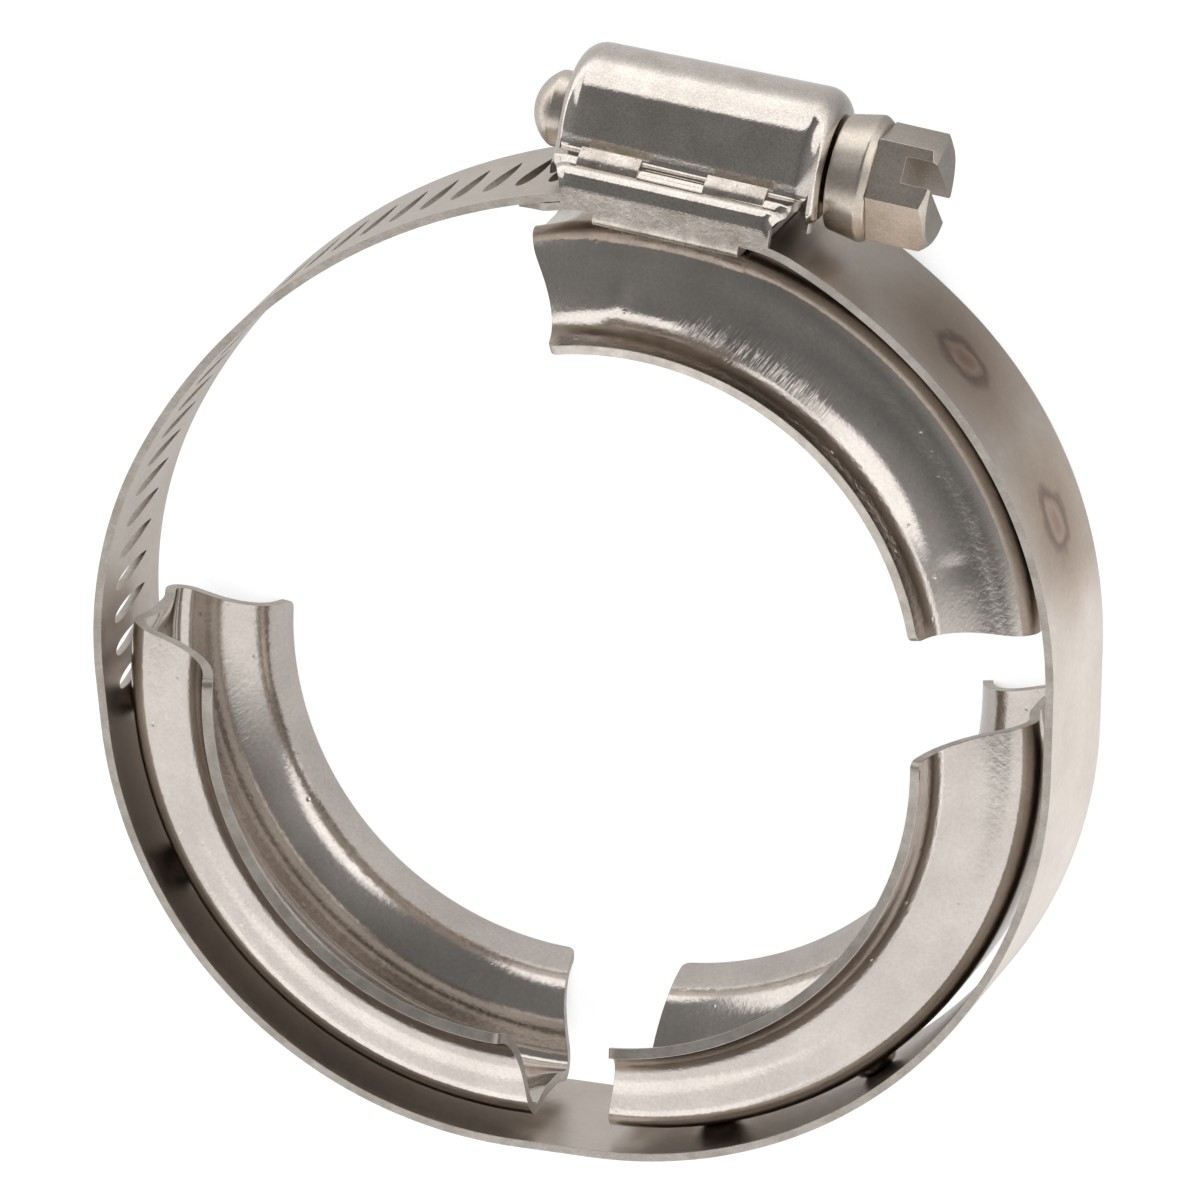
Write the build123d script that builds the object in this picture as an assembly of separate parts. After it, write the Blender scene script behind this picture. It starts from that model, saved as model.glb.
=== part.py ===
from build123d import *
from math import asin, atan, atan2, cos, degrees, pi, radians, sin, sqrt, tan
import os

# Worm-drive band clamp with three V-section inserts, shown let out.
# The ring axis is Z, the worm screw lies along X on the +Y side, its head towards +X.

# Band
band_width = 14.3
band_thickness = 0.64
seat_radius = 33.4          # inner face of the band round each insert's own centre
fixed_end_length = 4.4      # end of the under layer, past its bend
corner_cut_length = 2.7     # its corners are cut off
corner_cut_width = 2.3
layer_gap = 0.05            # between the band's two layers under the worm
exit_bend_radius = 5.6      # where the perforated end leaves the housing
exit_turn = 15.3
exit_x = -4.9               # start of that bend
ramp_mid_heading = -21.0    # the band leaves the saddle in a tight curve, then a wide one
ramp_end_heading = -36.0    # and joins the first seat here
free_straight = 3.6         # straight run past the last insert
free_mid_heading = 70.5     # where the free span changes from its tight to its wide curve
last_seat_end = -166.0      # direction in which the band leaves the last insert
tail_tip_past_slot = 1.6

# Perforations, leaf-shaped: blunt towards +Z, pointed towards -Z
slot_pitch = 2.6            # also the worm's pitch
slot_length = 7.4
slot_width = 1.2
slot_blunt_width = 0.94     # where the blunt end's round begins
slot_blunt_length = 0.5
slot_widest_at = 0.3        # past the slot's middle, towards its point
slot_count = 30
first_slot_x = 7.55

# Inserts
insert_sheet = 0.8
insert_mids = (62.5, -35.1, -131.0)
top_centre_x = 2.19         # the clamp is let out, so each insert has its own centre
top_centre_y = 3.42
right_centre_x = 2.89
right_centre_y = -2.45
left_centre_x = -2.97
left_centre_y = -3.04
insert_depth = 8.4          # from the back of the base to the lips
lip_half_angle = 44.6
end_cut_angle = 13.3        # the end cuts lean this far off radial, so the base is the longer edge
base_standoff = 0.95        # base to band, bridged at the weld projections
base_half_width = 5.25
bend_depth = 6.3            # from the base's middle line to the corner of the lip's bend
bend_half_width = 5.9
lip_half_width = 10.4
base_bend = 1.2             # inside radii
lip_bend = 3.0
lip_corner = 0.6            # rounding of the lip's end corners
weld_angles = (9.3, 32.8)   # from each insert's clockwise end
weld_top_radius = 2.2
weld_foot_radius = 3.0
weld_overrun = 1.0          # the projections' cones run on past the band before they are trimmed

# Saddle
saddle_sheet = 0.75
saddle_side_gap = 0.05
saddle_base_left = -3.9
saddle_base_right = 7.4
saddle_ear_left = -6.5
saddle_ear_right = 9.6
saddle_corner = 0.03        # inside radius, nearly sharp
ear_bottom_above_base = 0.35
ear_corner = 0.4
ear_top_corner = 0.6
ear_gap = 0.4               # from the ear's top to the underside of the housing's flange
tab_starts = (-5.7, 4.05)
tab_width = 4.7
tab_lean = 0.98
tab_height = 1.2            # above the underside of the flange
tab_bend_height = 0.55
tab_bend = 0.3              # inside radius
tab_root = 0.2              # how far the tabs reach down into the ears

# Housing
housing_sheet = 0.8
housing_left = -8.4
housing_right = 12.1
dome_radius_left = 5.6
dome_radius_right = 6.0     # the drawn dome widens a little towards the screw head
dome_end_round = 1.8
flange_left = -7.7
flange_right = 10.9
flange_lift = 2.05          # underside of the flange above the perforated end
skirt_lift = 1.05           # lower edge of the dome's ends above the perforated end
lip_gap = 0.6               # between the flange's lip and the saddle's ear
lip_width = 0.3             # the lip flares out by this much
lip_drop = 0.6
shoulder_width = 1.05       # the flange's edge slopes down over this width
shoulder_drop = 0.65
shoulder_bend = 0.4         # inside radius
flange_end_slant = 1.25     # the flange's ends are cut at a slant from the shoulder outwards
foot_round = 0.4            # where the dome runs out into the flange
tab_slot_gap = 0.12
tab_slot_inset = 0.8        # how far the tab slots reach in past the ear
neck_clearance = 0.1
fit_check = 0.01            # tolerance for finding an edge by its place

# Worm screw
crest_radius = 4.17
thread_bite = 0.45          # how deep the thread reaches into the slots
thread_depth = 1.05
thread_seat = 0.1           # how far its foot reaches into the core
thread_crest = 0.65
thread_flank = 0.28
thread_start = -7.3
thread_end = 11.0
neck_radius = 2.6
pilot_radius = 2.9
pilot_tip_x = -11.3
pilot_face_x = -8.6
pilot_dome = 1.7
collar_small_radius = 4.35
collar_radius = 4.85
collar_start = 12.3
collar_rim = 14.9
collar_chamfer = 0.45
hex_start = 15.5
hex_end = 20.1
hex_flats = 7.94
hex_chamfer = 30.0
hex_crown = 0.25            # the flat end is this much smaller than the hexagon
slot_cut_width = 2.0
slot_cut_depth = 2.3
slot_cut_roll = 54.0

# Worked out from the sizes above
half = band_thickness / 2
mid_radius = seat_radius + half
seat_centres = (
    (top_centre_x, top_centre_y),
    (right_centre_x, right_centre_y),
    (left_centre_x, left_centre_y),
)
base_radius = seat_radius - base_standoff
base_mid = base_radius - insert_sheet / 2
lip_radius = base_radius - insert_depth
layer_step = band_thickness + layer_gap
flat_y = seat_centres[0][1] + mid_radius
tail_y = flat_y + layer_step
tail_top = tail_y + half
worm_y = tail_top + crest_radius - thread_bite
root_radius = crest_radius - thread_depth
flange_y = tail_top + flange_lift
saddle_top = flat_y - half
saddle_wall_in = band_width / 2 + saddle_side_gap
saddle_wall_out = saddle_wall_in + saddle_sheet
lip_half_width_mid = saddle_wall_out + lip_gap + housing_sheet / 2
shoulder_out = lip_half_width_mid - lip_width
shoulder_in = shoulder_out - shoulder_width
skirt_y = tail_top + skirt_lift
ear_top = flange_y - ear_gap
helix_slant = degrees(atan(slot_pitch / (2 * pi * crest_radius)))


def run(point, heading, length, radius):
    """End point and heading of a run: straight if radius is 0, else an arc turning clockwise by length."""
    x, y = point
    h = radians(heading)
    if radius == 0:
        return (x + length * cos(h), y + length * sin(h)), heading
    e = radians(heading - length)
    return (x + radius * (sin(h) - sin(e)), y - radius * (cos(h) - cos(e))), heading - length


def right_of(heading):
    """Unit vector to the right of a heading."""
    return sin(radians(heading)), -cos(radians(heading))


def seat_gap(first, second):
    """Heading and length of the straight run between two neighbouring inserts."""
    dx = second[0] - first[0]
    dy = second[1] - first[1]
    return degrees(atan2(dy, dx)), sqrt(dx * dx + dy * dy)


def two_radii(start, end, headings):
    """Radii of two arcs in a row that lead from start to end through three headings."""
    n = [right_of(h) for h in headings]
    a = (n[0][0] - n[1][0], n[0][1] - n[1][1])
    b = (n[1][0] - n[2][0], n[1][1] - n[2][1])
    d = (end[0] - start[0], end[1] - start[1])
    det = a[0] * b[1] - b[0] * a[1]
    return (d[0] * b[1] - b[0] * d[1]) / det, (a[0] * d[1] - d[0] * a[1]) / det


def follow(point, heading, runs):
    """End point and heading after several runs."""
    for length, radius in runs:
        point, heading = run(point, heading, length, radius)
    return point, heading


def band_route():
    """Start point, start heading and runs of the band's middle line, from the fixed end to the tail tip."""
    flat_end = (saddle_base_right + saddle_side_gap, flat_y)
    turned = radians(ramp_end_heading)
    joint = (seat_centres[0][0] - mid_radius * sin(turned), seat_centres[0][1] + mid_radius * cos(turned))
    tight, wide = two_radii(flat_end, joint, (0, ramp_mid_heading, ramp_end_heading))
    seats = [(-ramp_mid_heading, tight), (ramp_mid_heading - ramp_end_heading, wide)]
    heading = ramp_end_heading
    for k in range(2):
        gap_heading, gap_length = seat_gap(seat_centres[k], seat_centres[k + 1])
        seats += [(heading - gap_heading, mid_radius), (gap_length, 0)]
        heading = gap_heading
    end_heading = last_seat_end - 90
    seats += [(heading - end_heading, mid_radius), (free_straight, 0)]
    point, _ = follow(flat_end, 0, seats)
    outward = radians(exit_turn)
    leave = (exit_x - exit_bend_radius * sin(outward), tail_y - exit_bend_radius * (1 - cos(outward)))
    tight, wide = two_radii(point, leave, (end_heading, free_mid_heading - 360, exit_turn - 360))
    free = [(end_heading - free_mid_heading + 360, tight), (free_mid_heading - exit_turn, wide),
            (exit_turn, exit_bend_radius), (first_slot_x + tail_tip_past_slot - exit_x, 0)]
    under_turn = degrees(fixed_end_length / (wide - layer_step))
    under = [(under_turn, wide - layer_step), (exit_turn, exit_bend_radius - layer_step),
             (flat_end[0] - exit_x, 0)]
    reach, _ = follow((0, 0), exit_turn + under_turn, under)
    start = (flat_end[0] - reach[0], flat_end[1] - reach[1])
    return start, exit_turn + under_turn, under + seats + free


def side_edges(start, heading, runs, offset):
    """Edges of a line that lies offset to the left of the route."""
    edges = []
    point = start
    for length, radius in runs:
        left = Vector(-sin(radians(heading)), cos(radians(heading))) * offset
        direction = (cos(radians(heading)), sin(radians(heading)))
        begin = Vector(*point) + left
        point, heading = run(point, heading, length, radius)
        if radius == 0:
            edges.append(Line(begin, begin + Vector(*direction) * length))
        else:
            edges.append(JernArc(begin, direction, radius + offset, -length))
    return edges


def place_on(start, heading, runs, distance_back):
    """Point and heading on the route, measured back from the tail tip."""
    spans = [length if radius == 0 else radians(length) * radius for length, radius in runs]
    target = sum(spans) - distance_back
    point = start
    for (length, radius), span in zip(runs, spans):
        if target <= span:
            part = target if radius == 0 else degrees(target / radius)
            return run(point, heading, part, radius)
        point, heading = run(point, heading, length, radius)
        target -= span
    return point, heading


def leaf():
    """A slot's outline along X: a blunt end, and two long arcs that meet in a point."""
    end_x = slot_length / 2
    blunt_x = slot_blunt_length - end_x
    blunt_y = slot_blunt_width / 2
    edges = [ThreePointArc((blunt_x, blunt_y), (-end_x, 0), (blunt_x, -blunt_y))]
    for side in (-1, 1):
        widest = (slot_widest_at, side * slot_width / 2)
        edges.append(ThreePointArc((blunt_x, side * blunt_y), widest, (end_x, 0)))
    return make_face(Wire(edges))


def make_band():
    """The strip bent along its route, with its fixed end's corners cut and the slots stamped through."""
    start, heading, runs = band_route()
    outer = side_edges(start, heading, runs, half)
    inner = side_edges(start, heading, runs, -half)
    caps = [Line(outer[0] @ 0, inner[0] @ 0), Line(outer[-1] @ 1, inner[-1] @ 1)]
    outline = make_face(Wire(outer + inner + caps))
    band = extrude(outline, amount=band_width / 2, both=True)
    cutters = []
    along = Vector(cos(radians(heading)), sin(radians(heading)), 0)
    end_plane = Plane(origin=Vector(*start), x_dir=along, z_dir=Vector(-along.Y, along.X, 0))
    for side in (-1, 1):
        corner = Polyline((-half, side * (band_width / 2 - corner_cut_width)), (-half, side * band_width),
                          (corner_cut_length, side * band_width), (corner_cut_length, side * band_width / 2),
                          (0, side * (band_width / 2 - corner_cut_width)), close=True)
        cutters.append(extrude(end_plane * make_face(corner), amount=band_thickness, both=True))
    for k in range(slot_count):
        point, angle = place_on(start, heading, runs, tail_tip_past_slot + k * slot_pitch)
        along = Vector(cos(radians(angle)), sin(radians(angle)), 0)
        plane = Plane(origin=Vector(*point), x_dir=along, z_dir=Vector(-along.Y, along.X, 0))
        opening = Rot(0, 0, 90 - helix_slant) * leaf()
        cutters.append(extrude(plane * opening, amount=band_thickness, both=True))
    return band - cutters


def sheet(points, bends, thickness):
    """Closed outline of a bent sheet, from its middle line and the inside radius of each bend."""
    t = thickness / 2
    directions = [(Vector(*q) - Vector(*p)).normalized() for p, q in zip(points, points[1:])]
    normals = [Vector(-d.Y, d.X) for d in directions]
    sides = []
    for s in (1, -1):
        line = [Vector(*points[0]) + normals[0] * (s * t)]
        radii = []
        for k, bend in enumerate(bends):
            corner = normals[k] + normals[k + 1]
            line.append(Vector(*points[k + 1]) + corner * (s * t / (corner.dot(normals[k]))))
            turn = directions[k].cross(directions[k + 1]).Z
            radii.append(bend if turn * s > 0 else bend + thickness)
        line.append(Vector(*points[-1]) + normals[-1] * (s * t))
        sides.append(FilletPolyline(*line, radius=radii))
    caps = [Line(sides[0] @ 0, sides[1] @ 0), Line(sides[0] @ 1, sides[1] @ 1)]
    return make_face(Wire(sides[0].edges() + sides[1].edges() + caps))


def insert_section():
    """The V-section on its own centre: X is the radius, Y the height."""
    tip = lip_radius + insert_sheet / 2
    bend = base_mid - bend_depth
    points = [
        (tip, -lip_half_width),
        (bend, -bend_half_width),
        (base_mid, -base_half_width),
        (base_mid, base_half_width),
        (bend, bend_half_width),
        (tip, lip_half_width),
    ]
    return sheet(points, [lip_bend, base_bend, base_bend, lip_bend], insert_sheet)


def make_insert(mid, centre):
    """One V insert, revolved round its own centre and cut to length, with its two weld projections."""
    sweep_angle = 2 * (lip_half_angle + end_cut_angle)
    upright = Plane.XZ * insert_section()
    channel = revolve(Rot(0, 0, -sweep_angle / 2) * upright, Axis.Z, sweep_angle)
    lip_end = Vector(lip_radius * cos(radians(lip_half_angle)), lip_radius * sin(radians(lip_half_angle)))
    cut = radians(lip_half_angle + end_cut_angle)
    apex = lip_end.X - lip_end.Y / tan(cut)
    reach = 2 * seat_radius
    far = (apex + reach * cos(cut), reach * sin(cut))
    wedge = make_face(Polyline((apex, 0), far, (far[0], -far[1]), close=True))
    channel = channel & extrude(wedge, amount=lip_half_width + insert_sheet, both=True)
    short = [e for e in channel.edges() if e.length < 1.5 * insert_sheet]
    channel = fillet([e for e in short if abs(e.center().Z) > bend_half_width + lip_bend], lip_corner)
    band_face = Cylinder(seat_radius, 4 * weld_foot_radius)
    recess_face = Cylinder(seat_radius - insert_sheet, 4 * weld_foot_radius)
    height = seat_radius + weld_overrun - base_mid
    narrowing = (weld_foot_radius - weld_top_radius) / base_standoff * height
    dish_radius = weld_foot_radius - insert_sheet / 2
    middle = base_mid + height / 2
    boss = Pos(0, 0, middle) * Cone(weld_foot_radius, weld_foot_radius - narrowing, height)
    dish = Pos(0, 0, middle - insert_sheet) * Cone(dish_radius, dish_radius - narrowing, height)
    for angle in weld_angles:
        turned = Rot(0, 0, angle - lip_half_angle) * Rot(0, 90, 0)
        channel = channel + (turned * boss & band_face) - (turned * dish & recess_face)
    return Pos(centre[0], centre[1], 0) * Rot(0, 0, mid) * channel


def make_saddle():
    """U strap under the band: a narrow base, longer side ears, and two tabs up each side."""
    base_y = saddle_top - saddle_sheet
    wall_mid = saddle_wall_in + saddle_sheet / 2
    length = saddle_base_right - saddle_base_left
    section = sheet(
        [(ear_top, -wall_mid), (base_y + saddle_sheet / 2, -wall_mid),
         (base_y + saddle_sheet / 2, wall_mid), (ear_top, wall_mid)],
        [saddle_corner, saddle_corner], saddle_sheet)
    saddle = Pos(saddle_base_left, 0, 0) * extrude(Plane.YZ * section, amount=length)
    ear_low = saddle_top + ear_bottom_above_base
    ear_height = ear_top - ear_low
    ear_length = saddle_ear_right - saddle_ear_left
    for side in (-1, 1):
        ear = Pos(saddle_ear_left + ear_length / 2, ear_low + ear_height / 2, side * wall_mid) * Box(
            ear_length, ear_height, saddle_sheet)
        ear = fillet(ear.edges().filter_by(Axis.Z).group_by(Axis.Y)[0], ear_corner)
        ear = fillet(ear.edges().filter_by(Axis.Z).group_by(Axis.Y)[-1], ear_top_corner)
        saddle += ear
        path = [(ear_top - tab_root, side * wall_mid), (flange_y + tab_bend_height, side * wall_mid),
                (flange_y + tab_height, side * (wall_mid - tab_lean))]
        for start in tab_starts:
            tab = extrude(Plane.YZ * sheet(path, [tab_bend], saddle_sheet), amount=tab_width)
            saddle += Pos(start, 0, 0) * tab
    return saddle


def arch(radius, floor):
    """Cross-section of the dome: round top over straight sides, open side at the floor."""
    top = CenterArc((worm_y, 0), radius, -90, 180)
    left = Line((floor, -radius), (worm_y, -radius))
    right = Line((worm_y, radius), (floor, radius))
    return make_face([left, top, right, Line((floor, radius), (floor, -radius))])


def dome_body(inset, floor):
    """Tapered arched block with rounded end edges, open side down, inset all round by a wall."""
    left = Pos(housing_left + inset, 0, 0) * (Plane.YZ * arch(dome_radius_left - inset, floor))
    right = Pos(housing_right - inset, 0, 0) * (Plane.YZ * arch(dome_radius_right - inset, floor))
    body = loft([left.face(), right.face()])
    ends = body.faces().filter_by(Axis.X).edges()
    rim = [e for e in ends if e.center().Y > floor + 0.01]
    return fillet(rim, dome_end_round - inset)


def make_housing():
    """Drawn dome with screw notches in its ends and a flange with a sloping shoulder along each side."""
    outer = dome_body(0, skirt_y)
    inside = dome_body(housing_sheet, skirt_y - housing_sheet)
    notch_radius = neck_radius + neck_clearance
    notch_depth = worm_y - skirt_y + housing_sheet
    notch = Plane.YZ * (Pos(worm_y, 0) * Circle(notch_radius)
                        + Pos(worm_y - notch_depth / 2, 0) * Rectangle(notch_depth, 2 * notch_radius))
    overrun = housing_sheet
    notch_length = housing_right - housing_left + 2 * overrun
    notches = Pos(housing_left - overrun, 0, 0) * extrude(notch, amount=notch_length)
    floor = flange_y + housing_sheet / 2
    flange_length = flange_right - flange_left
    barrel_length = housing_right - housing_left - 2 * dome_end_round
    barrel_middle = (housing_right + housing_left) / 2
    under_flange = Pos(barrel_middle, flange_y - skirt_lift, 0) * Box(
        barrel_length, 2 * skirt_lift, 2 * dome_radius_right + housing_sheet)
    housing = outer
    for side in (-1, 1):
        path = [
            (floor, side * (dome_radius_left - housing_sheet / 2)),
            (floor, side * shoulder_in),
            (floor - shoulder_drop, side * shoulder_out),
            (floor - shoulder_drop - lip_drop, side * lip_half_width_mid),
        ]
        section = sheet(path, [shoulder_bend, shoulder_bend], housing_sheet)
        housing += Pos(flange_left, 0, 0) * extrude(Plane.YZ * section, amount=flange_length)
    on_flange = housing.edges().filter_by_position(
        Axis.Y, flange_y + housing_sheet - fit_check, flange_y + housing_sheet + fit_check)
    in_foot = [e for e in on_flange if dome_radius_left < abs(e.center().Z) < dome_radius_right]
    housing = fillet([e for e in in_foot if e.length > flange_length / 2], foot_round)
    housing = housing - inside - notches - under_flange
    lip_out = lip_half_width_mid + housing_sheet
    for side in (-1, 1):
        for end, inward in ((flange_left, 1), (flange_right, -1)):
            corner = Polyline((end, side * shoulder_in), (end - inward, side * shoulder_in),
                              (end - inward, side * lip_out),
                              (end + inward * flange_end_slant, side * lip_out), close=True)
            corner = Plane.XZ * make_face(corner)
            housing -= Pos(0, flange_y, 0) * extrude(corner, amount=2 * housing_sheet, both=True)
    slot_in = saddle_wall_in - tab_slot_inset
    slot_out = saddle_wall_out + tab_slot_gap
    for side in (-1, 1):
        for start in tab_starts:
            middle = (start + tab_width / 2, flange_y + housing_sheet, side * (slot_in + slot_out) / 2)
            housing -= Pos(*middle) * Box(
                tab_width + 2 * tab_slot_gap, 3 * housing_sheet, slot_out - slot_in)
    return housing


def thread_solid():
    """Right-handed worm thread, its crest facing the band where the slots lie."""
    foot = thread_crest / 2 + thread_flank
    begin = thread_start + foot
    path = Helix(slot_pitch, thread_end - foot - begin, root_radius)
    phase = 270 - 360 * (first_slot_x - begin) / slot_pitch
    tooth = Polyline((-thread_seat, -foot), (-thread_seat, foot), (thread_depth, thread_crest / 2),
                     (thread_depth, -thread_crest / 2), close=True)
    section = Plane(origin=path @ 0, x_dir=(1, 0, 0), z_dir=path % 0) * make_face(tooth)
    thread = sweep(section, path=path, is_frenet=True)
    return Pos(begin, worm_y, 0) * Rot(0, 90, 0) * Rot(0, 0, phase) * thread


def make_screw():
    """Worm, neck, domed pilot end, flared collar and slotted hexagon, all turned from one bar."""
    profile = [
        (pilot_face_x, 0), (pilot_face_x, neck_radius),
        (thread_start, neck_radius), (thread_start, root_radius), (thread_end, root_radius),
        (thread_end, neck_radius), (collar_start, neck_radius), (collar_start, collar_small_radius),
        (collar_rim, collar_radius), (hex_start, collar_radius - collar_chamfer), (hex_start, 0),
    ]
    shank = revolve(make_face(Polyline(*profile, close=True)), Axis.X, 360)
    dome_radius_of_tip = (pilot_radius ** 2 + pilot_dome ** 2) / (2 * pilot_dome)
    dome_angle = degrees(asin(pilot_radius / dome_radius_of_tip))
    dome_centre = (pilot_tip_x + dome_radius_of_tip, 0)
    button = make_face([
        Line((pilot_face_x, 0), (pilot_face_x, pilot_radius)),
        Line((pilot_face_x, pilot_radius), (pilot_tip_x + pilot_dome, pilot_radius)),
        CenterArc(dome_centre, dome_radius_of_tip, 180 - dome_angle, dome_angle),
        Line((pilot_tip_x, 0), (pilot_face_x, 0)),
    ])
    shank += revolve(button, Axis.X, 360)
    across = hex_flats / 2
    corner = across / cos(radians(30))
    hexagon = RegularPolygon(across, 6, major_radius=False, rotation=30)
    prism = Pos(hex_start, 0, 0) * extrude(Plane.YZ * hexagon, amount=hex_end - hex_start)
    rise = (corner - across + hex_crown) * tan(radians(hex_chamfer))
    crown = Polyline((hex_start, 0), (hex_start, corner), (hex_end - rise, corner),
                     (hex_end, across - hex_crown), (hex_end, 0), close=True)
    head = prism & revolve(make_face(crown), Axis.X, 360)
    slot = Box(2 * slot_cut_depth, 3 * corner, slot_cut_width)
    groove = Rot(slot_cut_roll, 0, 0) * Pos(hex_end, 0, 0) * slot
    screw = Pos(0, worm_y, 0) * (shank + head - groove)
    return screw + thread_solid()


os.makedirs("parts", exist_ok=True)
pieces = {
    "band": make_band(),
    "saddle": make_saddle(),
    "housing": make_housing(),
    "worm_screw": make_screw(),
}
names = ("insert_top", "insert_right", "insert_left")
for name, mid, centre in zip(names, insert_mids, seat_centres):
    pieces[name] = make_insert(mid, centre)
for name, shape in pieces.items():
    export_step(shape, "parts/" + name + ".step")
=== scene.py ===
# %% [markdown]
# # A worm-drive band clamp with V-section inserts
# The object is a stainless steel band, three pressed V channels welded inside it, a drawn
# housing with its saddle, and a worm screw. The sheet pieces are surfaces worked out with numpy
# and then given their wall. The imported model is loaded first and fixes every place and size.

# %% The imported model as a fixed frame
from math import asin, atan, atan2, cos, degrees, pi, radians, sin, sqrt, tan

import bmesh
import bpy
import numpy as np
from mathutils import Matrix, Vector


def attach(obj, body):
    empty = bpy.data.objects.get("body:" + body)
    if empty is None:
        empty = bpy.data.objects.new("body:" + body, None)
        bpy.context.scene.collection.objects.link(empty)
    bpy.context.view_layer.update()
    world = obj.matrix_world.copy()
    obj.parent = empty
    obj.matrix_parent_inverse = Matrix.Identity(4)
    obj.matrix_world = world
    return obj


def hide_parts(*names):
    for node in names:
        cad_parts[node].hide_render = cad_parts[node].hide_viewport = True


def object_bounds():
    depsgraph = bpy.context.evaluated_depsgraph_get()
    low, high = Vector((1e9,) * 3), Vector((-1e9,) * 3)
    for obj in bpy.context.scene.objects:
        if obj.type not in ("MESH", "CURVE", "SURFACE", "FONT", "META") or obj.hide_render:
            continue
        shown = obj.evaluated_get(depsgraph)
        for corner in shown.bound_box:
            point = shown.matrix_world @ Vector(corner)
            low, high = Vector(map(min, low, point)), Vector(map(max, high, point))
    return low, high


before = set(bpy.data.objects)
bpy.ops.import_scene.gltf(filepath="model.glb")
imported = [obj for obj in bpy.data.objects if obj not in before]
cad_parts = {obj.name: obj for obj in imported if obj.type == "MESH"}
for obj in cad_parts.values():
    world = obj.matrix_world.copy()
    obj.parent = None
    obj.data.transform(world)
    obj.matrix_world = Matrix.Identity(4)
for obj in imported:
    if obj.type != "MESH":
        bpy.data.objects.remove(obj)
cad_low, cad_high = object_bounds()
scene = bpy.context.scene
MM = 0.001
merge_distance = 0.002 * MM
print("CAD box, mm:", [round(v / MM, 2) for v in (*cad_low, *cad_high)])

# %% [markdown]
# ## Grids, meshes and pieces
# A sheet-metal surface is a grid: one parameter runs along the part and one across it. Its points
# are one array and its faces are corner numbers, both of which numpy gives without a loop. The
# points are in millimetres, as on a drawing, and are turned to metres once.

# %% Grid and mesh helpers


def grid_faces(rows, cols, around=False):
    """Corner numbers of a grid: point (i, j) is number i x columns + j. around closes the rows."""
    i, j = np.meshgrid(np.arange(rows - 1), np.arange(cols if around else cols - 1), indexing="ij")
    k = (j + 1) % cols
    corners = [i * cols + j, i * cols + k, (i + 1) * cols + k, (i + 1) * cols + j]
    return np.stack(corners, -1).reshape(-1, 4)


def grid(points, around=False, keep=None, flat=None):
    """A surface from a rows x columns x 3 array. keep picks faces, flat is the unrolled place."""
    rows, cols = points.shape[:2]
    faces = grid_faces(rows, cols, around)
    if keep is not None:
        faces = faces[keep.ravel()]
    unrolled = np.zeros_like(points) if flat is None else flat
    return points.reshape(-1, 3), faces, unrolled.reshape(-1, 3)


def into_scene(name, data):
    """A new object with its data, linked to the scene."""
    made = bpy.data.objects.new(name, data)
    scene.collection.objects.link(made)
    return made


def build(name, surfaces, materials):
    """One object from several surfaces: their points are joined, and those that meet are merged."""
    counts = np.cumsum([0] + [len(s[0]) for s in surfaces])
    points = np.concatenate([s[0] for s in surfaces]) * MM
    faces = np.concatenate([s[1] + n for s, n in zip(surfaces, counts)])
    flat = np.concatenate([s[2] for s in surfaces]).astype(np.float32)
    mesh = bpy.data.meshes.new(name)
    mesh.from_pydata(points.tolist(), [], faces.tolist())
    unrolled = mesh.attributes.new("unrolled", "FLOAT_VECTOR", "POINT")
    unrolled.data.foreach_set("vector", flat.ravel() * MM)
    for material in materials:
        mesh.materials.append(material)
    work = bmesh.new()
    work.from_mesh(mesh)
    bmesh.ops.remove_doubles(work, verts=work.verts, dist=merge_distance)
    loose = [v for v in work.verts if not v.link_faces]
    bmesh.ops.delete(work, geom=loose, context="VERTS")
    bmesh.ops.recalc_face_normals(work, faces=work.faces)
    work.to_mesh(mesh)
    work.free()
    mesh.shade_smooth()
    return into_scene(name, mesh)


def add_wall(piece, thickness, edge_width):
    """Gives a sheet its wall, half to each side. Its cut edges take the second material."""
    wall = piece.modifiers.new("wall", "SOLIDIFY")
    wall.thickness = thickness * MM
    wall.offset = 0.0
    wall.use_even_offset = True
    wall.material_offset_rim = 1
    add_edges(piece, edge_width)


def add_edges(piece, edge_width, edge_angle=40.0):
    """Breaks the sharp edges with a small two-step round."""
    edges = piece.modifiers.new("edges", "BEVEL")
    edges.width = edge_width * MM
    edges.segments = 2
    edges.limit_method = "ANGLE"
    edges.angle_limit = radians(edge_angle)
    edges.harden_normals = True


def settle(piece, body, node):
    """The piece moves with its body and stands for its CAD node."""
    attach(piece, body)
    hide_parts(node)
    print(piece.name, "faces before its wall:", len(piece.data.polygons))


# %% [markdown]
# ## Rounded section lines
# Every folded part here has a section made of straight runs with a bend between them. One
# function rounds the corners of such a line and hands back evenly spread points. The smooth step
# fades a change of shape in and out without a kink.

# %% Rounded line


def rounded(corners, radii, step, turn=9.0):
    """Points along a line whose corners are arcs.
    Each arc touches its runs at radius x tan(half the turn) from the corner."""
    corners = [np.array(c, float) for c in corners]
    out = [corners[0]]
    for before, corner, after, radius in zip(corners, corners[1:], corners[2:], radii):
        a = (before - corner) / np.linalg.norm(before - corner)
        b = (after - corner) / np.linalg.norm(after - corner)
        half_turn = (pi - np.arccos(np.clip(a @ b, -1, 1))) / 2
        reach = radius * np.tan(half_turn)
        centre = corner + (a + b) / np.linalg.norm(a + b) * radius / np.cos(half_turn)
        first = corner + a * reach - centre
        last = corner + b * reach - centre
        whole = 2 * half_turn
        count = max(2, int(np.ceil(np.degrees(whole) / turn)) + 1)
        t = np.linspace(0, 1, count)[:, None]
        arc = (np.sin((1 - t) * whole) * first + np.sin(t * whole) * last) / np.sin(whole)
        out += spread(out[-1], centre + arc[0], step) + list(centre + arc)
    out += spread(out[-1], corners[-1], step) + [corners[-1]]
    return np.array(out)


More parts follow.
